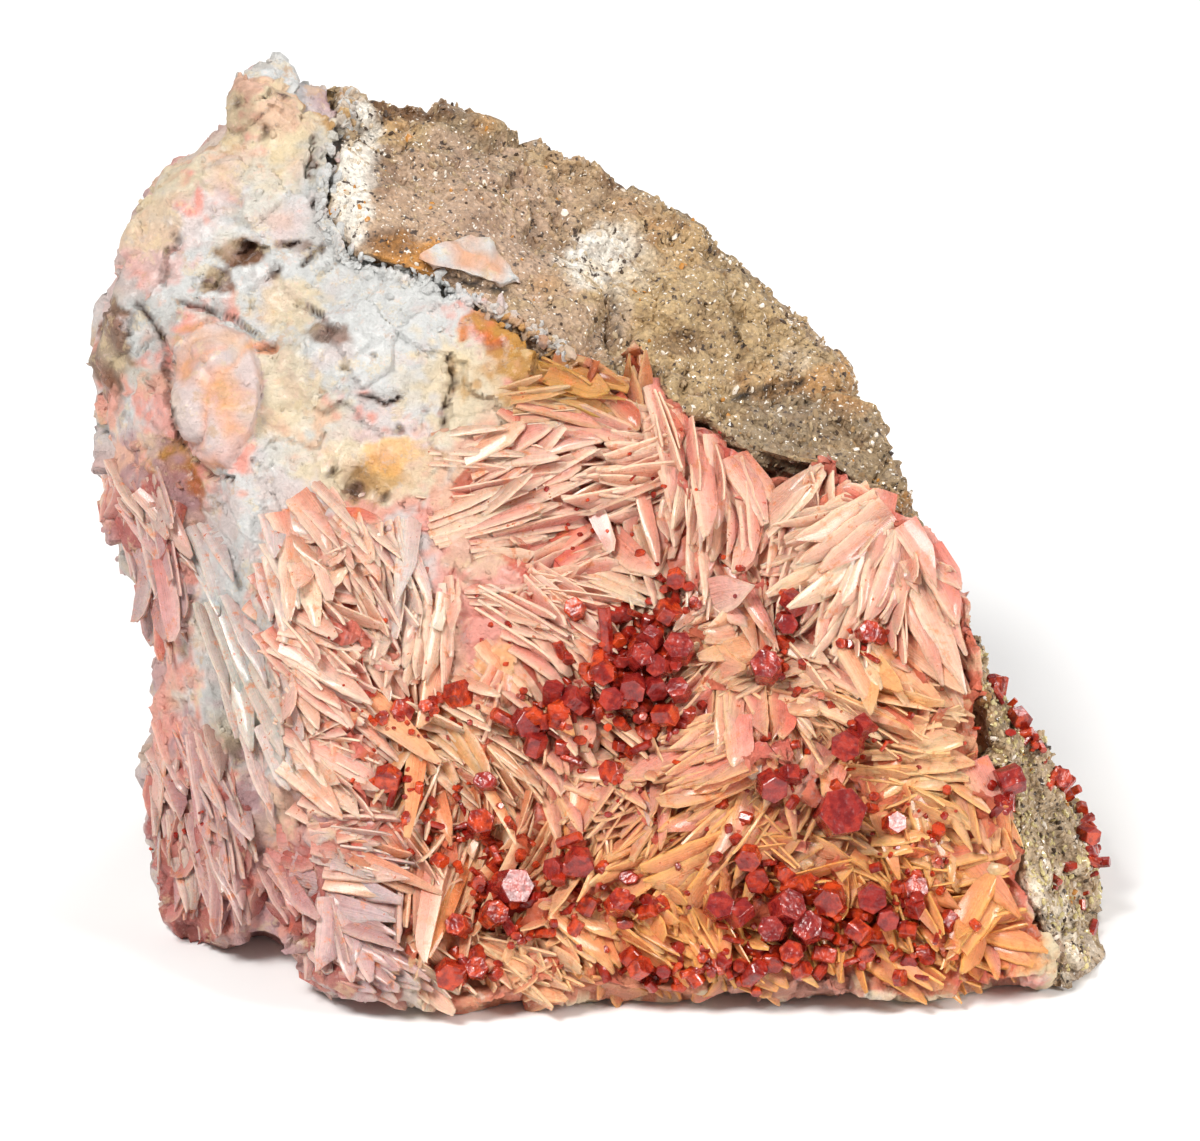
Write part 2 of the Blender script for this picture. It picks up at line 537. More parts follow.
def field_depth(u, v):
    """0 outside the blade fields, rising to 1 inside them."""
    stray = noise.noise(Vector((u, v, 0)) / 4.0)
    u, v = u + 1.6 * stray, v + 1.6 * noise.noise(Vector((v, u, 9)) / 3.0)
    for outline in BLADE_FIELDS.values():
        if inside(u, v, outline):
            return 1 - max(0.0, line_nearness(u, v, outline + outline[:1], FIELD_EDGE))
    return 0.0


def shell_share(u, v):
    """1 on the shell-like lump, falling to 0 over its rim."""
    if not inside(u, v, SHELL_LUMP):
        return 0.0
    return min(1.0, 1.6 * (1 - max(0.0, line_nearness(u, v, SHELL_LUMP + SHELL_LUMP[:1], 1.6))))


def shell_fold(u, v, place):
    """The shell's folds, which spread from its top, as a height from 0 to 1."""
    top_u, top_v = SHELL_TOP
    angle = math.atan2(v - top_v, u - top_u) + 0.35 * noise.noise(place / (3.5 * MM))
    return abs(math.sin(SHELL_FOLDS * angle)) * (0.6 + noise.noise(place / (3 * MM) + Vector((2, 6, 1))))


def barite_relief(place, normal):
    u, v, w = face_place(place)
    bent = place + noise.noise_vector(place / (3.0 * MM)) * 1.2 * MM
    large, large_edge = chunk(bent, 5.2)
    small, small_edge = chunk(bent, 1.9)
    height = 1.0 * large + 0.28 * small - 0.22 * large_edge - 0.10 * small_edge - 0.5
    height += 0.8 * noise.noise(place / (6.0 * MM))
    height *= 1.25 - 0.7 * facing(normal)
    height += 0.18 * noise.noise(place / (1.0 * MM))
    if w < -14 or normal.dot(OUT) < 0.1:
        return height
    height -= FIELD_SINK * field_depth(u, v)
    shell = shell_share(u, v)
    height = height * (1 - 0.7 * shell) + (SHELL_RISE + 0.9 * shell_fold(u, v, place)) * shell
    ragged = 0.6 * noise.noise(place / (1.3 * MM))
    for crack in BARITE_CRACKS:
        height -= 1.0 * max(0.0, line_nearness(u + ragged, v - ragged, crack, CRACK_HALF_WIDTH)) ** 0.7
    for pit_u, pit_v, radius in BARITE_PITS:
        away = math.hypot(u - pit_u + ragged, v - pit_v + ragged) / radius
        height -= 1.2 * radius * max(0.0, 1 - away * away)
    return height


def barite_colour(place, normal):
    u, v, w = face_place(place)
    colour = barite_tint(u, v, w, place)
    if w < -14:
        return colour
    if field_depth(u, v) > 0.05:
        return tuple(a * b for a, b in zip(colour, (0.86, 0.42, 0.36)))
    ragged = 0.6 * noise.noise(place / (1.3 * MM))
    for crack in BARITE_CRACKS:
        dark = line_nearness(u + ragged, v - ragged, crack, CRACK_HALF_WIDTH)
        colour = blended(colour, CRACK, 1.8 * dark * (0.6 + noise.noise(place / (1.8 * MM))))
    for pit_u, pit_v, radius in BARITE_PITS:
        away = math.hypot(u - pit_u + ragged, v - pit_v + ragged) / radius
        colour = blended(colour, CRACK, 0.9 * (1 - away * away))
    return colour


barite_shader = Shader("massive_barite_finish")
barite_mottle = barite_shader.ranged(barite_shader.noise(1.3, 6, 0.75), 0.3, 0.7, 0.84, 1.12)
barite_base = barite_shader.mix(1.0, barite_shader.tint("tint"), barite_mottle, "MULTIPLY")
# Patches of other colours mottle the mass: size, where they start, full strength and colour.
BARITE_PATCHES = (
    (3.6, 0.55, 0.20, paint(228, 180, 166)), (2.7, 0.56, 0.42, paint(236, 212, 166)),
    (2.2, 0.57, 0.35, paint(196, 188, 190)), (1.3, 0.60, 0.40, paint(240, 200, 182)),
    (4.4, 0.60, 0.45, paint(212, 160, 92)), (0.8, 0.67, 0.75, paint(186, 134, 94)),
    (1.1, 0.71, 0.80, paint(118, 86, 66)),
)
for size, start, strength, patch in BARITE_PATCHES:
    share = barite_shader.ranged(barite_shader.noise(size, 6, 0.72), start, start + 0.07, 0.0, strength)
    barite_base = barite_shader.mix(share, barite_base, patch)
barite_shader.colour(barite_base)
barite_shader.roughness(barite_shader.ranged(barite_shader.noise(0.8, 3), 0.3, 0.7, 0.30, 0.62))
barite_shader.bump(barite_shader.noise(0.9, 6, 0.7), 0.55)
barite_shader.bump(barite_shader.noise(0.3, 4, 0.7), 0.20)
barite_shader.set(Coat_Weight=0.15, Coat_Roughness=0.2)

barite_skin = even_skin("barite", BARITE_GRAIN, 3)
# A dict keeps these edges in the mesh's own order, which a set doesn't.
bare_edges = {}
for face in barite_skin.faces:
    u, v, w = face_place(face.calc_center_median())
    if w > -16 and face.normal.dot(OUT) > 0.0 and field_depth(u, v) < 0.4:
        bare_edges.update(dict.fromkeys(face.edges))
bmesh.ops.subdivide_edges(barite_skin, edges=list(bare_edges), cuts=1, use_grid_fill=True)
move_out(barite_skin, barite_relief)
barite_skin.normal_update()
lay_tint(barite_skin, barite_colour)
barite_tree = BVHTree.FromBMesh(barite_skin)
barite_faces = [(f.calc_center_median(), f.normal.copy(), f.calc_area()) for f in barite_skin.faces]
barite = piece_from("barite_mass", barite_skin, barite_shader.material, 50)


# The blades are thin, slightly bowed plates of barite, which grew in fans and stacks. Each stands on
# its long edge or leans. Its foot is sunk in the crust, and its free rim is thin and paler.
BLADE_LENGTH = 8.0
BLADE_BREADTH = 2.6
BLADE_THICKNESS = 0.95
BLADE_PATTERNS = 24
STEEPEST_FALL = 6.0
STONE_FRONT = solids_box[0][1] - 0.6 * MM
PALE_RIM = paint(248, 214, 190)
RIM_YELLOW = paint(253, 194, 104)
rng = random.Random(5)


def blade_pattern(number):
    """One plate, along +Y with its free rim at +X, and how near its rim each vertex is."""
    bm = bmesh.new()
    rim_layer = bm.verts.layers.float.new("rim")
    lamina_layer = bm.verts.layers.float_vector.new("lamina")
    bmesh.ops.create_grid(bm, x_segments=3, y_segments=8, size=1)
    bow = rng.gauss(0, 0.25) * (3 if number % 6 == 0 else 1)
    twist = rng.uniform(-0.25, 0.25)
    knee, heel = rng.uniform(0.5, 0.92), rng.uniform(0.4, 0.85)
    point = rng.uniform(0.3, 0.85)
    end_width = rng.choice((0.05, 0.14, 0.3))
    notch = rng.uniform(0, 9)
    for vertex in bm.verts:
        across, along = 1 - ((1 - vertex.co.x) / 2) ** 1.7, (vertex.co.y + 1) / 2
        crest = 1 - 0.12 * along / knee
        if along > knee:
            crest += (point - crest) * (along - knee) / (1 - knee)
        foot = max(0.0, (point - end_width) * (along - heel) / (1 - heel))
        crest += 0.07 * noise.noise(Vector((along * 6, notch, number)))
        vertex.co.x = BLADE_BREADTH * (foot + (crest - foot) * across)
        vertex.co.y = BLADE_LENGTH * (along + 0.025 * noise.noise(Vector((across * 4, notch, -number))))
        vertex.co.z = bow * along * along + twist * along * (across - 0.5)
        vertex[rim_layer] = max(across ** 5, max(0.0, 2 * along - 1) ** 6)
        vertex[lamina_layer] = (across, along, number)
    made = bmesh.ops.extrude_face_region(bm, geom=bm.faces[:])
    for vertex in made["geom"]:
        if isinstance(vertex, bmesh.types.BMVert):
            vertex.co.z += BLADE_THICKNESS * (1 - 0.7 * vertex[rim_layer] ** 0.5)
    bmesh.ops.recalc_face_normals(bm, faces=bm.faces)
    tint_layer = bm.verts.layers.float_color.new("tint")
    for vertex in bm.verts:
        vertex.co *= MM
        vertex[tint_layer] = (1, 1, 1, 1)
    shares = [(vertex[rim_layer], vertex[lamina_layer].y) for vertex in bm.verts]
    mesh = bpy.data.meshes.new(f"blade_pattern_{number}")
    bm.to_mesh(mesh)
    bm.free()
    return mesh, shares


blade_patterns = [blade_pattern(number) for number in range(BLADE_PATTERNS)]


def on_mauve_side(u, v):
    """Whether a place is on the mauve and grey-white left side or its foot."""
    return u < -31 or (u < -19 and v < 17)


def rim_colour(u, v, tint, warm):
    """The colour of a blade's free rim: pale at the top, yellow and orange low and on the right, and
    stained with iron at the crest."""
    low = max(0.0, min(1.0, (38 - v) / 26))
    right = max(0.0, min(1.0, (u + 22) / 30))
    colour = blended(PALE_RIM, RIM_YELLOW, (0.15 + 0.85 * low) * right + warm)
    colour = blended(colour, ORANGE, low * right * 0.30 + 0.5 * warm)
    colour = blended(colour, OCHRE, 1.3 * (1 - math.hypot((u + 1) / 11, (v - 62) / 6)))
    return blended(tint, colour, 0.35 if on_mauve_side(u, v) else 0.75)


def add_blade(bm, root, along, across, length, breadth, warm=0.0, depth=0.0):
    """Sets one plate into the crust. length and breadth are in metres, and warm goes from -1, white,
    to 1, stained orange."""
    mesh, shares = rng.choice(blade_patterns)
    along = along.normalized()
    across = (across - across.project(along)).normalized()
    flat = across.cross(along)
    grow = Vector((breadth / (BLADE_BREADTH * MM), length / (BLADE_LENGTH * MM), 1.0))
    grow.z = rng.uniform(0.6, 1.3) * (0.35 + 0.65 * min(grow.x, grow.y))
    turn = Matrix((across, along, flat)).transposed().to_4x4()
    plate = mesh.copy()
    plate.transform(Matrix.Translation(root) @ turn @ Matrix.Diagonal((*grow, 1)))
    if min(vertex.co.y for vertex in plate.vertices) < STONE_FRONT:
        bpy.data.meshes.remove(plate)
        return
    middle = root + along * length * 0.5
    u, v, w = face_place(middle)
    tone = rng.uniform(0.84, 1.08)
    others = (MAUVE, MAUVE_WHITE, GREY_WHITE) if on_mauve_side(u, v) else (ROSE, PINK, PEACH, PEACH, CREAM)
    other = rng.choice(others)
    tint = blended(barite_tint(u, v, w, middle), other, rng.uniform(0, 0.45))
    tint = blended(tint, WHITE if warm < 0 else ORANGE, 0.6 * abs(warm))
    tint = tuple(value * tone * (1 - depth * fall) for value, fall in zip(tint, (0.12, 0.56, 0.60)))
    deep = tuple(value * share for value, share in zip(tint, (0.86, 0.46, 0.38)))
    rim = rim_colour(u, v, tint, warm)
    colours = []
    for near_rim, how_far in shares:
        colour = blended(deep, tint, 0.3 + near_rim + 0.8 * how_far)
        colours.extend((*blended(colour, rim, 0.95 * near_rim + 0.12 * how_far), 1))
    plate.attributes["tint"].data.foreach_set("color", colours)
    bm.from_mesh(plate)
    bpy.data.meshes.remove(plate)


def seat_at(u, v, tree=barite_tree):
    """The place and the normal where a line at u, v meets the crust, or None where it misses."""
    place, normal, _, _ = tree.ray_cast(on_face(u, v, 80), -OUT)
    return (place, normal) if place else None


def add_stack(bm, u0, v0, u1, v1, breadth, stand, count, spacing=1.15, fan=0.08, lift=2.2, warm=0.0, depth=0.0):
    """A stack of plates from u0, v0 to u1, v1, side by side, each a little turned from the last.

    stand goes from 0, lying flat, to 1, on its edge. lift is how far the tips rise from the crust,
    in millimetres, and depth from 0 to 1 darkens plates that lie low between others."""
    lean = rng.choice((-1, 1))
    turn = math.radians(62) * min(1.0, max(0.05, stand))
    heading = Vector((u1 - u0, v1 - v0))
    aside = Vector((-heading.y, heading.x)).normalized()
    for number in range(count):
        offset = (number - (count - 1) / 2) * spacing + rng.uniform(-0.2, 0.2)
        swing = fan * (number - (count - 1) / 2) + rng.uniform(-0.06, 0.06)
        sized = rng.uniform(0.6, 1.0) if number != count // 2 else 1.0
        start = Vector((u0, v0)) + aside * offset + heading * rng.uniform(0, 0.2) * (1 - sized)
        turned = Vector((
            heading.x * math.cos(swing) - heading.y * math.sin(swing),
            heading.x * math.sin(swing) + heading.y * math.cos(swing),
        ))
        end = start + turned * sized
        root, tip = seat_at(*start), seat_at(*end)
        if not root or not tip or abs((root[0] - tip[0]).dot(OUT)) > STEEPEST_FALL * MM:
            continue
        normal = (OUT + (root[1] + tip[1]) * 0.2).normalized()
        width = breadth * rng.uniform(0.75, 1.1)
        proud = width * math.sin(turn)
        foot = root[0] - normal * (0.55 * proud + 0.4) * MM
        head = tip[0] + normal * (lift * rng.uniform(0.55, 1.2) - 0.7 * proud) * MM
        along = head - foot
        side = along.cross(normal).normalized() * lean
        tilt = turn + rng.uniform(-0.12, 0.12)
        across = side * math.cos(tilt) + normal * math.sin(tilt)
        foot -= side * width * 0.5 * MM * math.cos(tilt)
        add_blade(bm, foot, along, across, along.length, width * MM, warm, depth)


# The main blades, each a stack: root u and v, tip u and v, breadth, how far it stands on its edge
# from 0 to 1, and how many plates.
MAIN_BLADES = (
    # the iron-stained crest and the blades under it
    (-4.7, 63.1, 2.6, 60.3, 5, 0.5, 4), (-6.5, 60.3, 5.3, 58.3, 5, 0.6, 4),
    (-9.4, 55.3, -3.2, 55.9, 4, 0.8, 3), (-10.0, 52.6, -0.3, 56.0, 5, 0.9, 4),
    (-10.5, 49.0, 0.2, 54.5, 4, 1.0, 4), (-11.0, 48.5, -2.0, 51.5, 3, 1.0, 3),
    (5.6, 52.4, -1.8, 52.7, 4, 1.0, 4), (5.6, 50.6, -0.9, 50.9, 4, 1.0, 3),
    (5.6, 54.8, 0.0, 55.3, 4, 0.8, 3), (-2.1, 52.1, 0.9, 45.4, 2.6, 0.2, 1),
    (-7.3, 42.4, -1.5, 44.5, 3, 0.6, 3), (-5.6, 42.1, 1.5, 45.1, 3, 0.6, 2),
    (-7.3, 41.8, 1.0, 35.5, 4, 0.7, 3), (-7.0, 38.5, -1.0, 34.5, 4, 0.8, 3),
    (4.4, 49.8, 6.4, 45.5, 3, 0.5, 2), (9.5, 56.2, 8.8, 45.0, 4, 0.9, 4),
    (10.5, 54.5, 10.2, 44.0, 3, 0.9, 2), (4.4, 61.5, 8.2, 49.5, 4, 0.8, 4),
    (3.6, 60.0, 2.9, 66.6, 3.5, 0.5, 3), (8.5, 60.0, 4.2, 66.0, 3.5, 0.5, 3),
    (10.3, 54.2, 8.8, 40.7, 3.5, 0.8, 3), (13.5, 53.5, 16.0, 48.0, 4, 0.4, 3),
    (15.8, 48.0, 14.1, 40.0, 4.5, 0.15, 2), (20.2, 46.0, 23.6, 54.8, 7, 0.1, 2),
    # the great fan on the right
    (28.8, 47.7, 16.4, 41.2, 5, 0.5, 4), (28.0, 49.5, 19.0, 44.0, 6, 0.4, 4),
    (28.8, 47.7, 17.3, 38.6, 6, 0.5, 4), (28.8, 47.0, 19.7, 35.7, 5, 0.8, 4),
    (29.0, 47.0, 22.0, 34.8, 5, 0.7, 4), (29.0, 47.0, 25.2, 36.5, 4, 0.6, 4),
    (29.0, 46.8, 28.5, 37.5, 5, 0.4, 3), (29.0, 46.8, 31.1, 38.8, 5, 0.3, 3),
    (29.5, 46.8, 34.5, 38.0, 6, 0.3, 3), (30.5, 46.8, 37.2, 34.8, 6, 0.35, 3),
    (31.0, 44.0, 38.2, 30.0, 6, 0.35, 4), (33.0, 38.0, 39.0, 26.5, 5, 0.4, 3),
    # the level blades below the fan
    (26.4, 36.5, 35.2, 28.3, 6, 0.5, 4), (25.0, 35.0, 28.0, 28.0, 4, 0.4, 3),
    (20.3, 31.8, 33.2, 27.7, 4, 0.9, 4), (18.0, 31.0, 25.0, 30.0, 4, 0.9, 3),
    (24.0, 30.5, 37.8, 26.5, 4, 0.8, 3), (30.5, 25.4, 39.6, 27.4, 5, 0.7, 4),
    (27.0, 25.0, 36.4, 25.1, 4, 0.9, 4), (24.7, 22.7, 35.2, 23.3, 5, 0.8, 4),
    (26.1, 18.3, 34.9, 19.8, 5, 0.8, 4), (36.0, 23.0, 40.0, 15.0, 5, 0.4, 3),
    (14.1, 28.3, 14.8, 22.5, 4.5, 0.08, 2), (17.0, 28.0, 19.0, 23.0, 5, 0.12, 2),
    (22.6, 24.8, 19.7, 18.9, 4, 0.3, 3), (33.0, 22.0, 40.5, 22.5, 4, 0.7, 3),
    # the orange blades at the lower right
    (27.1, 16.8, 24.7, 9.4, 3.5, 0.5, 3), (27.5, 16.0, 33.0, 15.5, 3, 0.8, 3),
    (33.3, 17.5, 33.8, 10.2, 2.5, 0.5, 3), (27.7, 14.4, 32.8, 5.2, 3.5, 0.7, 4),
    (38.9, 9.5, 34.4, 4.5, 4.5, 0.2, 2), (35.4, 14.0, 42.7, 15.0, 3.5, 0.7, 3),
    (36.8, 10.8, 42.5, 13.0, 3.5, 0.7, 3), (26.3, 8.3, 38.8, 1.3, 3.5, 0.7, 4),
    (25.0, 6.4, 25.5, 2.8, 3, 0.4, 2), (18.3, 13.9, 22.0, 16.0, 3, 0.7, 3),
    (36.0, 8.0, 41.0, 10.0, 4, 0.6, 3), (30.0, 20.0, 37.0, 17.5, 4, 0.6, 4),
    (22.0, 15.0, 29.0, 13.5, 3.5, 0.7, 3), (30.5, 9.0, 36.5, 12.0, 3.5, 0.7, 3),
    # the middle, round the ring of red crystals
    (14.2, 26.4, 6.2, 22.2, 4, 0.8, 4), (14.8, 23.9, 5.9, 18.8, 4, 0.8, 4),
    (13.2, 19.8, 0.3, 9.6, 4.5, 0.7, 4), (15.7, 20.2, 8.1, 9.4, 3.5, 0.6, 4),
    (6.7, 24.5, 5.0, 15.1, 3, 0.3, 2), (-4.1, 21.6, -1.8, 14.5, 3, 0.4, 3),
    (-6.0, 22.2, -9.1, 12.8, 3.5, 0.35, 3), (-5.6, 31.0, -1.5, 23.3, 3, 0.9, 2),
    (-1.8, 23.0, 4.1, 21.0, 3, 0.9, 2), (17.0, 35.0, 9.5, 31.5, 6, 0.25, 3),
    (15.5, 38.5, 6.0, 37.0, 4, 0.6, 3), (11.0, 41.0, 15.0, 38.0, 3, 0.6, 3),
    (3.0, 19.0, -1.5, 17.0, 3, 0.6, 3), (12.0, 15.5, 4.0, 12.5, 3.5, 0.7, 4),
    # the lower left
    (0.0, 11.6, -10.4, 6.6, 3.5, 0.7, 4), (-13.2, 19.8, -19.1, 2.1, 3.5, 0.7, 4),
    (-12.0, 6.4, -1.9, 1.4, 3.5, 0.7, 4), (2.5, 11.7, 10.0, 7.2, 3.5, 0.7, 3),
    (4.1, 7.9, 10.1, 4.0, 3.5, 0.7, 3), (10.0, 6.9, 10.6, 2.0, 3, 0.5, 2),
    (-17.3, 24.9, -8.4, 18.8, 3.5, 0.7, 4), (-16.4, 30.2, -8.4, 22.9, 3.5, 0.7, 4),
    (-22.0, 27.2, -17.3, 25.1, 4, 0.4, 3), (-17.3, 26.0, -21.4, 17.0, 2.5, 0.8, 4),
    (-10.0, 20.0, -14.0, 8.0, 3, 0.6, 3), (-16.0, 14.0, -18.5, 4.0, 3, 0.6, 3),
    (12.0, 5.0, 19.0, 1.5, 3, 0.6, 3), (-6.0, 9.0, -1.5, 4.0, 3, 0.6, 3),
    # the round dome of blades on the left
    (-31.7, 36.6, -20.7, 31.7, 5, 0.7, 4), (-29.5, 38.7, -21.3, 35.5, 4, 0.7, 3),
    (-31.1, 33.1, -22.2, 27.3, 4, 0.8, 4), (-19.4, 40.1, -20.9, 32.7, 4, 0.5, 3),
    (-17.6, 40.0, -18.8, 32.4, 4, 0.5, 3), (-16.0, 42.0, -15.0, 34.0, 4, 0.35, 3),
    (-31.1, 28.4, -20.4, 23.5, 5, 0.6, 4), (-30.8, 24.9, -21.3, 18.8, 6, 0.4, 4),
    (-29.0, 16.8, -17.6, 17.8, 4, 0.6, 3), (-27.0, 13.1, -18.8, 11.5, 4, 0.5, 3),
    (-30.6, 9.0, -29.4, 1.4, 4, 0.25, 3), (-26.0, 10.0, -25.5, 2.0, 4, 0.4, 3),
    (-30.0, 46.0, -29.0, 37.0, 4, 0.5, 4), (-26.0, 47.5, -23.5, 41.0, 4, 0.4, 3),
    (-22.0, 47.5, -20.5, 40.0, 4, 0.5, 3), (-28.5, 41.5, -24.0, 44.0, 3, 0.6, 3),
    # the broad mauve ledges under the dome, and the flaky ribs of the groove beside it
    (-32.0, 15.5, -21.5, 14.0, 6, 0.12, 2), (-30.5, 12.5, -19.5, 10.0, 6, 0.15, 3),
    (-28.5, 9.0, -20.0, 6.0, 5, 0.2, 3), (-27.0, 5.0, -19.5, 1.5, 4, 0.3, 3), (-23.0, 3.5, -18.0, 0.8, 3, 0.5, 3),
    (-40.5, 47.0, -36.5, 38.0, 3, 0.6, 3), (-38.5, 40.0, -34.5, 28.5, 3.5, 0.6, 4),
    (-36.5, 34.0, -32.5, 23.5, 3, 0.6, 4), (-34.5, 27.0, -31.5, 17.5, 3, 0.5, 3),
    # the ribs of the left lobes
    (-44.0, 18.8, -43.4, 7.5, 4, 0.7, 4), (-41.4, 18.2, -38.9, 6.0, 4, 0.7, 4),
    (-43.1, 22.6, -36.5, 15.7, 4, 0.7, 4), (-45.5, 28.0, -44.0, 19.0, 3, 0.6, 3),
    (-40.0, 25.0, -36.5, 12.0, 3, 0.6, 3), (-46.5, 49.0, -44.5, 40.0, 3, 0.5, 4),
    (-44.5, 44.0, -43.0, 36.0, 3, 0.5, 4),
)
blades_bmesh = bmesh.new()
for u0, v0, u1, v1, breadth, stand, count in MAIN_BLADES:
    add_stack(blades_bmesh, u0, v0, u1, v1, min(breadth, 4.5) * 0.72, stand, count, spacing=0.95)

# Single plates that lie on top: root u and v, tip u and v, breadth, how far it stands on its edge,
# and from -1, white, to 1, orange.
SINGLE_BLADES = (
    (-5.6, 22.2, -9.0, 13.0, 3.6, 0.15, 0.7), (-1.2, 22.4, -4.2, 14.2, 3.0, 0.2, 0.7),
    (-15.8, 35.2, -18.2, 27.0, 2.2, 0.3, 0.4), (-17.8, 28.0, -20.2, 17.0, 2.4, 0.3, 0.4),
    (-25.5, 31.0, -15.0, 24.5, 3.4, 0.1, 0.2), (-5.8, 31.0, -2.6, 26.0, 2.2, 0.2, 0.6),
    (-13.0, 17.0, -17.5, 4.0, 2.6, 0.3, 0.6), (-9.5, 8.5, -2.0, 2.0, 2.8, 0.25, 0.5),
    (27.0, 20.5, 30.0, 12.0, 2.6, 0.3, 0.7), (30.0, 12.5, 36.5, 9.5, 2.8, 0.2, 0.6),
    (24.8, 36.0, 29.5, 30.0, 4.6, 0.08, 0.35), (18.5, 31.5, 31.5, 27.8, 2.4, 0.5, 0.3),
    (28.0, 26.0, 39.0, 27.5, 2.4, 0.5, 0.3), (0.5, 7.5, 13.5, 20.0, 2.8, 0.4, 0.3),
    (26.5, 8.5, 38.0, 2.0, 2.8, 0.3, 0.5), (36.5, 15.0, 41.5, 8.0, 3.2, 0.15, 0.5),
    (9.0, 33.5, 14.5, 34.0, 4.2, 0.1, 0.3), (14.3, 29.0, 15.4, 22.0, 3.0, 0.12, -0.8),
    (5.2, 24.4, 5.8, 17.6, 2.0, 0.2, -0.7), (10.6, 40.0, 15.6, 41.6, 3.8, 0.1, -0.5),
    (10.4, 54.5, 9.2, 44.5, 1.8, 0.6, -0.9), (20.6, 46.8, 22.8, 54.6, 4.6, 0.12, -0.2),
    (29.5, 40.0, 31.2, 36.2, 1.8, 0.3, -0.9), (-7.4, 42.0, 1.2, 35.6, 3.0, 0.3, -0.3),
    (-19.0, 48.0, -20.0, 39.0, 3.0, 0.3, -0.8), (-1.8, 52.0, 1.4, 44.8, 2.2, 0.2, -0.2),
)
for u0, v0, u1, v1, breadth, stand, warm in SINGLE_BLADES:
    add_stack(blades_bmesh, u0, v0, u1, v1, breadth, stand, 1, lift=3.2, warm=warm)

blade_shader = Shader("barite_blade_finish")
blade_mottle = blade_shader.ranged(blade_shader.noise(0.9, 4, 0.65), 0.3, 0.7, 0.86, 1.10)
lamina = blade_shader.nodes.new("ShaderNodeAttribute")
lamina.attribute_name = "lamina"
lamina_stretch = blade_shader.nodes.new("ShaderNodeMapping")
lamina_stretch.inputs["Scale"].default_value = (14.0, 0.5, 1.0)
blade_shader.links.new(lamina.outputs["Vector"], lamina_stretch.inputs["Vector"])
lamina_lines = blade_shader.nodes.new("ShaderNodeTexNoise")
lamina_lines.inputs["Scale"].default_value = 1.6
lamina_lines.inputs["Detail"].default_value = 3.0
blade_shader.links.new(lamina_stretch.outputs["Vector"], lamina_lines.inputs["Vector"])
blade_base = blade_shader.mix(1.0, blade_shader.tint("tint"), blade_mottle, "MULTIPLY")
blade_lines = blade_shader.ranged(lamina_lines.outputs["Fac"], 0.35, 0.65, 0.88, 1.07)
blade_base = blade_shader.mix(1.0, blade_base, blade_lines, "MULTIPLY")
blade_iron = blade_shader.ranged(blade_shader.noise(1.6, 4, 0.7), 0.56, 0.68, 0.0, 0.65)
blade_base = blade_shader.mix(blade_iron, blade_base, paint(222, 124, 66))
blade_spot = blade_shader.ranged(blade_shader.noise(0.9, 3, 0.6), 0.67, 0.72, 0.0, 0.9)
blade_shader.colour(blade_shader.mix(blade_spot, blade_base, paint(190, 84, 36)))
blade_shader.roughness(blade_shader.ranged(blade_shader.noise(0.7, 2), 0.3, 0.7, 0.20, 0.46))
blade_shader.bump(lamina_lines.outputs["Fac"], 0.14)
blade_shader.bump(blade_shader.noise(0.7, 5, 0.7), 0.26)
blade_shader.set(Subsurface_Weight=0.25, Subsurface_Scale=0.0014, Coat_Weight=0.4, Coat_Roughness=0.16)

main_blades = piece_from("barite_main_blades", blades_bmesh, blade_shader.material, 40)


# Smaller blades fill the fields between the main ones, and lie the way their neighbours do.
FILL_STACKS = 330
FILL_SPACING = 2.5
DEEP_STACKS = 420
DEEP_SPACING = 1.9
FINE_STACKS = 200
FINE_SPACING = 2.6


def field_heading(u, v):
    """The heading, length and stand of the blades near a place, from the main blades around it."""
    total, heading, stand = 0.0, Vector((0, 0)), 0.0
    for u0, v0, u1, v1, breadth, blade_stand, count in MAIN_BLADES:
        away = (u - (u0 + u1) / 2) ** 2 + (v - (v0 + v1) / 2) ** 2 + 2.0
        weight = 1 / away ** 2
        heading += Vector((u1 - u0, v1 - v0)).normalized() * weight
        stand += blade_stand * weight
        total += weight
    return heading.normalized(), stand / total


def scattered(count, spacing):
    """Places in the blade fields that keep apart from each other."""
    places = []
    for _ in range(count * 40):
        u, v = rng.uniform(-50, 44), rng.uniform(0, 67)
        if len(places) < count and any(inside(u, v, outline) for outline in BLADE_FIELDS.values()):
            if all((u - a) ** 2 + (v - b) ** 2 > spacing ** 2 for a, b in places):
                places.append((u, v))
    return places


def fill_field(bm, count, apart, spread, lengths, breadths, least_stand=0.0, plates=(1, 2, 2, 3), **stack):
    """Stacks of smaller plates all over the blade field. spread is how far they stray, in radians."""
    for u, v in scattered(count, apart):
        heading, stand = field_heading(u, v)
        strayed = Matrix.Rotation(rng.gauss(0, spread), 2) @ heading * rng.uniform(*lengths)
        start, end = Vector((u, v)) - strayed / 2, Vector((u, v)) + strayed / 2
        stand = min(1.0, least_stand + stand * 0.6 + rng.uniform(0, 0.6))
        add_stack(bm, *start, *end, rng.uniform(*breadths), stand, rng.choice(plates), **stack)


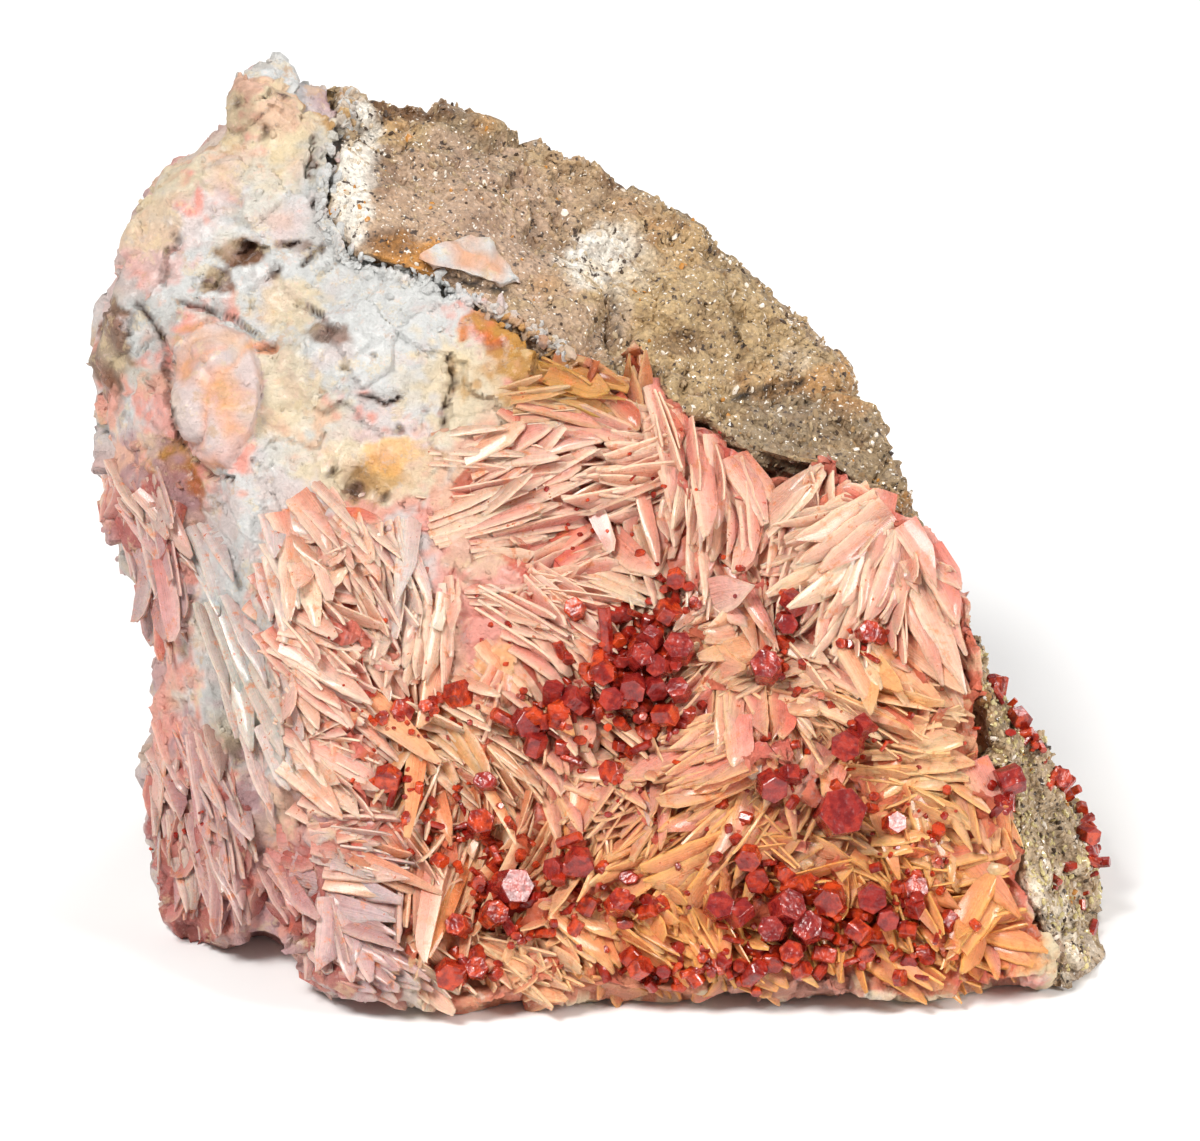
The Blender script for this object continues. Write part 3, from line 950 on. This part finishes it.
deep_bmesh = bmesh.new()
fill_field(deep_bmesh, DEEP_STACKS, DEEP_SPACING, 0.7, (2.5, 6.0), (1.8, 3.2), spacing=1.0, lift=0.5, depth=1.0)
deep_blades = piece_from("barite_deep_blades", deep_bmesh, blade_shader.material, 40)
fill_bmesh = bmesh.new()
fill_field(fill_bmesh, FILL_STACKS, FILL_SPACING, 0.22, (5.0, 11.0), (1.5, 3.3), spacing=0.95, lift=1.7, depth=0.2)
fill_blades = piece_from("barite_small_blades", fill_bmesh, blade_shader.material, 40)
fine_bmesh = bmesh.new()
fill_field(
    fine_bmesh, FINE_STACKS, FINE_SPACING, 0.14, (6.0, 12.0), (1.1, 2.5), least_stand=0.45, plates=(3, 4, 5),
    spacing=0.68, fan=0.03, lift=2.3, depth=0.1,
)
fine_blades = piece_from("barite_fine_blades", fine_bmesh, blade_shader.material, 40)
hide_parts("barite")


# The vanadinite crystals are short six-sided prisms and plates, bright and resinous: orange-red
# where thin, deep red where thick. They grew last, on the blades and in the hollows between them.
LARGE_CRYSTAL = 3.9


def vanadinite_finish(name, thick, thin, cloud, coat):
    """The crystals' finish, from the colours of thick and thin ones and of the clouds in them."""
    shader = Shader(name)
    island = shader.nodes.new("ShaderNodeNewGeometry").outputs["Random Per Island"]
    clouds = shader.ranged(shader.noise(1.0, 3), 0.42, 0.60, 0.0, 0.85)
    shader.colour(shader.mix(clouds, shader.mix(island, thick, thin), cloud))
    shader.roughness(shader.ranged(shader.noise(0.6, 2), 0.3, 0.7, 0.14, 0.38))
    shader.set(Coat_Weight=coat, Coat_Roughness=0.08, Specular_IOR_Level=0.55)
    shader.bump(shader.noise(1.6, 2), 0.25)
    shader.bump(shader.noise(0.5, 2), 0.08)
    return shader.material


vanadinite_red = vanadinite_finish("vanadinite_finish", paint(150, 34, 26), paint(208, 74, 34), paint(112, 22, 18), 0.35)
vanadinite_dark = vanadinite_finish("dark_vanadinite_finish", paint(138, 40, 38), paint(172, 56, 42), paint(108, 26, 28), 0.2)

for name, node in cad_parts.items():
    if name.startswith("vanadinite"):
        node.data.materials.clear()
        node.data.materials.append(vanadinite_dark if max(node.dimensions) > LARGE_CRYSTAL * MM else vanadinite_red)
        weld = node.modifiers.new("joined skin", "WELD")
        weld.merge_threshold = 0.000001
        bevel = node.modifiers.new("crystal edges", "BEVEL")
        bevel.width = 0.07 * MM
        bevel.segments = 1
        bevel.limit_method = "ANGLE"
        bevel.angle_limit = math.radians(25)

# Smaller crystals of vanadinite, in sprays: u, v, half-width along u and v, how many, and the
# smallest and largest diameter.
CRYSTAL_SPRAYS = (
    (3, 34, 5, 4, 66, 0.8, 2.8), (-5, 28, 4, 3, 36, 0.8, 2.6), (6, 27, 3, 3, 22, 0.8, 2.4),
    (2, 30, 6, 5, 34, 0.6, 2.2), (7, 39, 3, 3, 12, 0.8, 2.0), (7, 42, 3, 3, 9, 0.6, 1.6),
    (22, 8, 10, 5, 60, 1.0, 2.8), (30, 5, 6, 3, 20, 0.8, 2.2), (17, 6, 6, 4, 26, 0.8, 2.6), (10, 3, 10, 2, 24, 0.7, 2.2),
    (-12, 15, 5, 5, 30, 0.8, 2.4), (-10, 9, 5, 4, 30, 0.8, 2.6), (-3, 13, 5, 4, 26, 0.8, 2.6), (2, 9, 6, 4, 20, 0.7, 2.2),
    (-14, 3, 4, 2, 12, 0.8, 2.2), (4, 3, 5, 2, 10, 0.7, 2.0), (9, 3, 4, 2, 10, 0.7, 2.2),
    (-20, 29, 5, 3, 14, 0.5, 1.7), (-15, 29, 4, 3, 12, 0.6, 1.8), (-21, 22, 5, 3, 12, 0.5, 1.6),
    (-17, 20, 5, 4, 10, 0.5, 1.6), (25, 36, 4, 3, 10, 0.5, 1.7), (17, 34, 3, 4, 8, 0.8, 2.2),
    (19, 38, 2, 4, 9, 0.8, 1.8), (26, 27, 4, 4, 12, 0.6, 2.0), (19, 22, 5, 4, 12, 0.6, 2.2),
    (30, 17, 5, 4, 12, 0.5, 1.7), (31, 12, 6, 5, 12, 0.5, 1.8), (24, 20, 5, 4, 8, 0.6, 1.8),
    (0, 46, 7, 6, 10, 0.4, 0.9), (6, 54, 8, 6, 8, 0.4, 0.9), (14, 43, 4, 3, 6, 0.5, 1.2),
    (0, 22, 6, 5, 12, 0.5, 1.6), (12, 14, 6, 6, 14, 0.6, 2.0), (36, 22, 5, 8, 10, 0.4, 1.1),
    (-12, 38, 5, 6, 7, 0.4, 0.9), (-25, 33, 7, 8, 8, 0.3, 0.8), (-42, 16, 5, 9, 10, 0.4, 1.1),
)
crystals_bmesh = bmesh.new()


def tree_of(*parts):
    """One surface of several pieces, to seat things on."""
    bm = bmesh.new()
    for part in parts:
        bm.from_mesh(part.data)
    tree = BVHTree.FromBMesh(bm)
    bm.free()
    return tree


dressed = tree_of(main_blades, fill_blades, fine_blades, deep_blades, barite, rock)


def add_crystal(bm, place, axis, diameter, height):
    """One six-sided prism with fine bevelled edges, seldom quite regular, a third of it sunk in."""
    uneven = Matrix.Diagonal((rng.uniform(0.7, 1.1), rng.uniform(0.85, 1.15), 1, 1))
    spun = Matrix.Rotation(rng.uniform(0, math.pi / 3), 4, "Z")
    turned = axis.to_track_quat("Z", "X").to_matrix().to_4x4()
    made = bmesh.ops.create_cone(
        bm, cap_ends=True, cap_tris=False, segments=6, radius1=diameter / 2 * MM,
        radius2=diameter / 2 * rng.uniform(0.86, 1.0) * MM, depth=height * MM,
        matrix=Matrix.Translation(place) @ turned @ uneven @ spun,
    )
    edges = dict.fromkeys(edge for vertex in made["verts"] for edge in vertex.link_edges)
    bmesh.ops.bevel(
        bm, geom=list(edges), offset=0.05 * diameter * MM, affect="EDGES", segments=1, profile=0.5, material=-1,
    )


def any_way():
    return Vector((rng.gauss(0, 1), rng.gauss(0, 1), rng.gauss(0, 1))).normalized()


for spray_u, spray_v, half_u, half_v, count, smallest, largest in CRYSTAL_SPRAYS:
    for _ in range(count):
        u = spray_u + rng.gauss(0, 0.5) * half_u
        v = spray_v + rng.gauss(0, 0.5) * half_v
        seat = seat_at(u, max(v, 1.5), dressed)
        if not seat:
            continue
        place, normal = seat
        diameter = smallest + (largest - smallest) * rng.random() ** 2
        axis = (normal * 0.5 + OUT * 0.5 + any_way() * 0.9).normalized()
        middle = place + OUT * diameter * rng.uniform(-0.15, 0.2) * MM
        if middle.z < diameter * 0.6 * MM:
            continue
        slender = rng.uniform(0.6, 0.8) if rng.random() < 0.3 else 1.0
        add_crystal(crystals_bmesh, middle, axis, diameter * slender, diameter * rng.uniform(0.45, 1.1) / slender ** 2)

# Small crystals on the rock's druse, on the stone's right: u, v, half-width, how many.
ROCK_SPRAYS = (
    (39.5, 31.5, 1.2, 10), (42.0, 29.0, 1.8, 14), (44.0, 26.5, 1.5, 12), (46.5, 22.5, 1.4, 8),
    (47.3, 20.5, 1.4, 6), (49.3, 17.5, 1.3, 14), (50.0, 14.0, 1.2, 16), (41.0, 20.0, 1.5, 5),
    (46.0, 12.0, 2.5, 3), (48.0, 8.0, 2.5, 3),
)
for spray_u, spray_v, half, count in ROCK_SPRAYS:
    for _ in range(count):
        seat = seat_at(spray_u + rng.gauss(0, 0.5) * half, spray_v + rng.gauss(0, 0.6) * half, dressed)
        if not seat:
            continue
        place, normal = seat
        diameter = rng.uniform(0.5, 1.3)
        axis = (normal * 0.6 + any_way() * 0.8).normalized()
        add_crystal(crystals_bmesh, place + normal * 0.2 * MM, axis, diameter, diameter * rng.uniform(1.0, 2.6))
small_crystals = piece_from("vanadinite_small_crystals", crystals_bmesh, vanadinite_red)


# Grit covers the rock: clear and white quartz grains that sparkle, with black and ochre ones among
# them. Each grain is a small faceted lump, half sunk in the rock.
GRIT_COUNT = 9200
DRUSE_START = 38
DRUSE_GRIT = 3.5
GRIT_YELLOW = paint(206, 190, 136)
GRIT_CLEAR = paint(190, 168, 136)
GRIT_WHITE = paint(226, 214, 198)
GRIT_BLACK = paint(72, 58, 48)
GRIT_OCHRE = paint(186, 128, 62)
GRIT_TAN = paint(164, 136, 100)


def grit_pattern(number):
    bm = bmesh.new()
    bmesh.ops.create_icosphere(bm, subdivisions=1, radius=1)
    layer = bm.verts.layers.float_color.new("tint")
    for vertex in bm.verts:
        vertex.co *= 1 + 0.35 * noise.noise(vertex.co * 1.7 + Vector((number, 0, 0)))
        vertex[layer] = (1, 1, 1, 1)
    mesh = bpy.data.meshes.new(f"grit_pattern_{number}")
    bm.to_mesh(mesh)
    bm.free()
    return mesh


grit_patterns = [grit_pattern(number) for number in range(6)]


def add_grain(bm, place, normal, size, tint):
    """Sets one faceted grain, about size millimetres in radius, half into the surface."""
    grain = rng.choice(grit_patterns).copy()
    shape = Vector((rng.uniform(0.6, 1.6), rng.uniform(0.5, 1.1), rng.uniform(0.3, 0.8))) * size * MM
    turn = any_way().to_track_quat("Z", "X").to_matrix().to_4x4()
    grain.transform(Matrix.Translation(place + normal * size * 0.1 * MM) @ turn @ Matrix.Diagonal((*shape, 1)))
    grain.attributes["tint"].data.foreach_set("color", (*tint, 1) * len(grain.vertices))
    bm.from_mesh(grain)
    bpy.data.meshes.remove(grain)


grit_bmesh = bmesh.new()
hidden_way = Vector((-0.55, -0.25, -0.6)).normalized()
outer_faces = [face for face in rock_faces if face[1].dot(hidden_way) < 0.35 and face[0].z > 1.2 * MM]
shares = [area * (DRUSE_GRIT if place.x > DRUSE_START * MM else 1) for place, normal, area in outer_faces]
for place, normal, area in rng.choices(outer_faces, weights=shares, k=GRIT_COUNT):
    coarse = coarseness(place)
    size = rng.uniform(0.10, 0.24) * (1 + 0.7 * coarse + 0.8 * max(0.0, noise.noise(place / (6 * MM))))
    tint = blended(rock_colour(place, normal), GRIT_TAN, 0.3)
    kind = rng.random()
    if kind < 0.42:
        tint = blended(tint, GRIT_CLEAR, 0.6)
    elif kind < 0.50:
        tint = GRIT_WHITE
    elif kind < 0.515 + 0.06 * coarse + 0.10 * noise.noise(place / (7 * MM)):
        tint = GRIT_BLACK
    elif kind < 0.60:
        tint = GRIT_OCHRE
    elif place.x > DRUSE_START * MM:
        tint = GRIT_YELLOW
    add_grain(grit_bmesh, place, normal, size, tint)
grit_shader = Shader("grit_finish")
grit_shader.colour(grit_shader.tint("tint"))
grit_shader.set(Roughness=0.22, Coat_Weight=0.3, Coat_Roughness=0.05)
grit = piece_from("rock_grit", grit_bmesh, grit_shader.material)


# A flake of pale barite has come loose and lies on the rock, over a dark gap.
LOOSE_FLAKE = (
    (-18.5, 74.2), (-16.5, 75.5), (-13.0, 76.6), (-10.8, 75.8), (-9.2, 73.6), (-8.0, 71.8), (-10.0, 71.6),
    (-12.5, 72.6), (-14.6, 73.2),
)
FLAKE_RISE = 0.9
FLAKE_THICKNESS = 0.8
FLAKE_PINK = paint(232, 176, 142)

flake_bmesh = bmesh.new()
flake_top = []
for u, v in LOOSE_FLAKE:
    place, _ = seat_at(u, v, rock_tree)
    flake_top.append(flake_bmesh.verts.new(place + OUT * FLAKE_RISE * MM))
made = bmesh.ops.extrude_face_region(flake_bmesh, geom=[flake_bmesh.faces.new(flake_top)])
sunk = [vertex for vertex in made["geom"] if isinstance(vertex, bmesh.types.BMVert)]
bmesh.ops.translate(flake_bmesh, verts=sunk, vec=-OUT * FLAKE_THICKNESS * MM)
bmesh.ops.triangulate(flake_bmesh, faces=flake_bmesh.faces)
bmesh.ops.subdivide_edges(flake_bmesh, edges=flake_bmesh.edges, cuts=3, use_grid_fill=True)
bmesh.ops.recalc_face_normals(flake_bmesh, faces=flake_bmesh.faces)
move_out(flake_bmesh, lambda place, normal: 0.9 * noise.noise(place / (1.3 * MM)))
lay_tint(flake_bmesh, lambda place, normal: blended(FLAKE_PINK, WHITE, 0.5 + 1.6 * noise.noise(place / (2.6 * MM))))
loose_flake = piece_from("loose_flake", flake_bmesh, barite_shader.material, 50)


# Crumbs of barite lie along its edge on the rock and stand out all over its massive part.
CRUMB_COUNT = 1500
EDGE_CRUMBS = 620
BARITE_EDGE = ((-25, 92.5), (-26.5, 87), (-28, 79), (-25, 74), (-16, 71.5), (-9, 68), (-3, 64.5))


crumbs_bmesh = bmesh.new()
bare_faces = []
for face in barite_faces:
    u, v, w = face_place(face[0])
    if face[0].z > 1.2 * MM and (w < -10 or field_depth(u, v) < 0.2):
        bare_faces.append(face)
for place, normal, area in rng.choices(bare_faces, weights=[face[2] for face in bare_faces], k=CRUMB_COUNT):
    tone = rng.uniform(0.8, 1.08)
    tint = tuple(value * tone for value in barite_colour(place, normal))
    add_grain(crumbs_bmesh, place, normal, 0.18 + 0.5 * rng.random() ** 3, tint)
for _ in range(EDGE_CRUMBS):
    span = rng.randrange(len(BARITE_EDGE) - 1)
    u, v = Vector(BARITE_EDGE[span]).lerp(Vector(BARITE_EDGE[span + 1]), rng.random())
    seat = seat_at(u + rng.gauss(0, 0.45), v + rng.gauss(0, 0.45), dressed)
    if seat:
        tint = blended(barite_tint(u, v, 0, seat[0]), WHITE, rng.random())
        add_grain(crumbs_bmesh, seat[0], seat[1], rng.uniform(0.2, 0.8), tint)
crumbs = piece_from("barite_crumbs", crumbs_bmesh, barite_shader.material)
